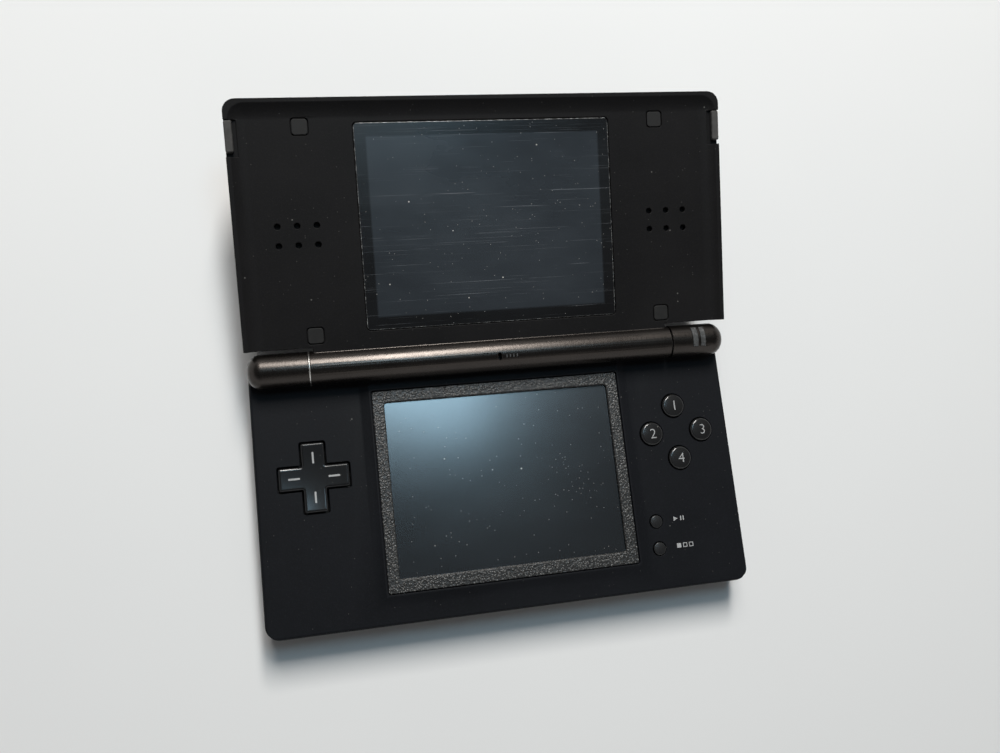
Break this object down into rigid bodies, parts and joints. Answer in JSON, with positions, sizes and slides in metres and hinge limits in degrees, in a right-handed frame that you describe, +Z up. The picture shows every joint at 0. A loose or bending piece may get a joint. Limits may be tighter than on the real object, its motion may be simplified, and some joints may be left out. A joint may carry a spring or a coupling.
{
  "type": "clamshell handheld game console",
  "caption": "Clamshell handheld game console with a dished screen lid on a barrel hinge, a touch screen in a raised frame, direction pad, push buttons, sliders and stylus.",
  "frame": {"origin": "on the plane that the rubber feet stand on, straight below the middle of the lid hinge", "axes": "+X to the user's right along the hinge axis, +Y away from the user towards the open lid, +Z up out of the control face"},
  "size_m": [0.1336, 0.137, 0.0374],
  "materials": {
    "base_lower_shell": "fine matte moulded polycarbonate",
    "base_upper_shell": "fine matte moulded polycarbonate",
    "lid_inner_shell": "fine matte moulded polycarbonate",
    "lid_outer_shell": "satin painted polycarbonate",
    "control_plastic": "satin moulded plastic",
    "menu_plastic": "satin moulded plastic",
    "stylus_plastic": "satin moulded plastic",
    "dust_cover_plastic": "matte moulded plastic",
    "speckled_ring": "textured speckled grey plastic",
    "touch_glass": "touch film on glass, lightly scratched",
    "upper_lens_plastic": "clear hard-coated lens over a dark display, scratched",
    "display_glass": "display cell, off",
    "circuit_board": "green solder mask on glass fibre",
    "battery_wrap": "shrink film",
    "connector_plastic": "moulded connector plastic",
    "speaker_black": "speaker frame",
    "clutch_plastic": "acetal click hinge",
    "grey_rubber": "matte silicone rubber",
    "black_rubber": "matte silicone rubber",
    "plated_shield": "tin-plated sheet",
    "bracket_steel": "thin sheet frame",
    "bracket_aluminium": "thin sheet tray",
    "screw_steel": "black-zinc screw",
    "spring_steel": "bright spring wire",
    "magnet_steel": "nickel-plated magnet",
    "microphone_can": "bright can",
    "light_pipe": "frosted clear light pipe",
    "ribbon_film": "amber polyimide film"
  },
  "bodies": {
    "base": {"base_bottom_case": "base_lower_shell", "base_top_case": "base_upper_shell", "battery_cover": "base_lower_shell", "battery_cover_screw": "screw_steel", "battery_pack": "battery_wrap", "base_screws": "screw_steel", "rubber_feet": "grey_rubber", "main_board": "circuit_board", "wireless_module": "plated_shield", "shield_can": "plated_shield", "touch_ring": "speckled_ring", "touch_panel": "touch_glass", "touch_gasket": "black_rubber", "lower_display": "display_glass", "display_bracket": "bracket_steel", "pad_membrane": "black_rubber", "button_membrane": "black_rubber", "menu_membrane": "black_rubber", "card_reader": "connector_plastic", "cartridge_bay": "connector_plastic", "cartridge_connector": "connector_plastic", "charge_socket": "plated_shield", "headphone_socket": "connector_plastic", "volume_control": "connector_plastic", "power_switch": "plated_shield", "stylus_holder": "connector_plastic", "strap_bar": "screw_steel", "shoulder_pins": "screw_steel", "shoulder_springs": "spring_steel", "shoulder_switches": "connector_plastic", "hinge_bush": "connector_plastic", "hinge_clutch": "clutch_plastic", "status_lights": "light_pipe"},
    "lid": {"lid_inner_case": "lid_inner_shell", "lid_outer_case": "lid_outer_shell", "upper_lens": "upper_lens_plastic", "upper_display": "display_glass", "display_shield": "bracket_aluminium", "lid_speakers": "speaker_black", "lid_screws": "screw_steel", "lid_screw_pads": "grey_rubber", "lid_side_bumpers": "grey_rubber", "hinge_cam": "clutch_plastic", "microphone": "microphone_can", "display_ribbon": "ribbon_film", "lid_magnet": "magnet_steel"},
    "pad_pivot": {"pad_pivot": "control_plastic"},
    "direction_pad": {"direction_pad": "control_plastic"},
    "button_top": {"button_top": "control_plastic"},
    "button_left": {"button_left": "control_plastic"},
    "button_right": {"button_right": "control_plastic"},
    "button_bottom": {"button_bottom": "control_plastic"},
    "button_start": {"button_start": "menu_plastic"},
    "button_select": {"button_select": "menu_plastic"},
    "left_shoulder_button": {"left_shoulder_button": "control_plastic"},
    "right_shoulder_button": {"right_shoulder_button": "control_plastic"},
    "power_slider": {"power_slider": "control_plastic"},
    "volume_slider": {"volume_slider": "control_plastic"},
    "stylus": {"stylus": "stylus_plastic"},
    "cartridge_cover": {"cartridge_cover": "dust_cover_plastic"}
  },
  "joints": [
    {"name": "lid_hinge", "type": "hinge", "parent": "base", "child": "lid", "pos_m": [0, 0, 0.0162], "axis": [1, 0, 0], "range_deg": [0, 165]},
    {"name": "pad_tilt_forward", "type": "hinge", "parent": "base", "child": "pad_pivot", "pos_m": [-0.0513, -0.0284, 0.00875], "axis": [1, 0, 0], "range_deg": [-3, 3], "stiffness_Nm_per_rad": 0.1, "deforming": ["pad_membrane"]},
    {"name": "pad_tilt_sideways", "type": "hinge", "parent": "pad_pivot", "child": "direction_pad", "pos_m": [-0.0513, -0.0284, 0.00875], "axis": [0, 1, 0], "range_deg": [-3, 3], "stiffness_Nm_per_rad": 0.1, "deforming": ["pad_membrane"]},
    {"name": "button_top_press", "type": "slide", "parent": "base", "child": "button_top", "axis": [0, 0, 1], "range_m": [-0.001, 0], "stiffness_N_per_m": 900, "springref_m": 0.0004, "deforming": ["button_membrane"]},
    {"name": "button_left_press", "type": "slide", "parent": "base", "child": "button_left", "axis": [0, 0, 1], "range_m": [-0.001, 0], "stiffness_N_per_m": 900, "springref_m": 0.0004, "deforming": ["button_membrane"]},
    {"name": "button_right_press", "type": "slide", "parent": "base", "child": "button_right", "axis": [0, 0, 1], "range_m": [-0.001, 0], "stiffness_N_per_m": 900, "springref_m": 0.0004, "deforming": ["button_membrane"]},
    {"name": "button_bottom_press", "type": "slide", "parent": "base", "child": "button_bottom", "axis": [0, 0, 1], "range_m": [-0.001, 0], "stiffness_N_per_m": 900, "springref_m": 0.0004, "deforming": ["button_membrane"]},
    {"name": "start_press", "type": "slide", "parent": "base", "child": "button_start", "axis": [0, 0, 1], "range_m": [-0.0008, 0], "stiffness_N_per_m": 900, "springref_m": 0.0004, "deforming": ["menu_membrane"]},
    {"name": "select_press", "type": "slide", "parent": "base", "child": "button_select", "axis": [0, 0, 1], "range_m": [-0.0008, 0], "stiffness_N_per_m": 900, "springref_m": 0.0004, "deforming": ["menu_membrane"]},
    {"name": "left_shoulder_press", "type": "hinge", "parent": "base", "child": "left_shoulder_button", "pos_m": [-0.05285, 0.0012, 0.0075], "axis": [0, 0, 1], "range_deg": [0, 3.5], "stiffness_Nm_per_rad": 0.3, "springref_deg": -1.72, "deforming": ["shoulder_springs"]},
    {"name": "right_shoulder_press", "type": "hinge", "parent": "base", "child": "right_shoulder_button", "pos_m": [0.05285, 0.0012, 0.0075], "axis": [0, 0, 1], "range_deg": [-3.5, 0], "stiffness_Nm_per_rad": 0.3, "springref_deg": 1.72, "deforming": ["shoulder_springs"]},
    {"name": "power_slide", "type": "slide", "parent": "base", "child": "power_slider", "axis": [0, 1, 0], "range_m": [0, 0.002], "stiffness_N_per_m": 400, "springref_m": -0.001},
    {"name": "volume_slide", "type": "slide", "parent": "base", "child": "volume_slider", "axis": [1, 0, 0], "range_m": [-0.0035, 0.0035]},
    {"name": "stylus_pull", "type": "slide", "parent": "base", "child": "stylus", "axis": [1, 0, 0], "range_m": [0, 0.088]},
    {"name": "cover_pull", "type": "slide", "parent": "base", "child": "cartridge_cover", "axis": [0, -1, 0], "range_m": [0, 0.015]}
  ]
}
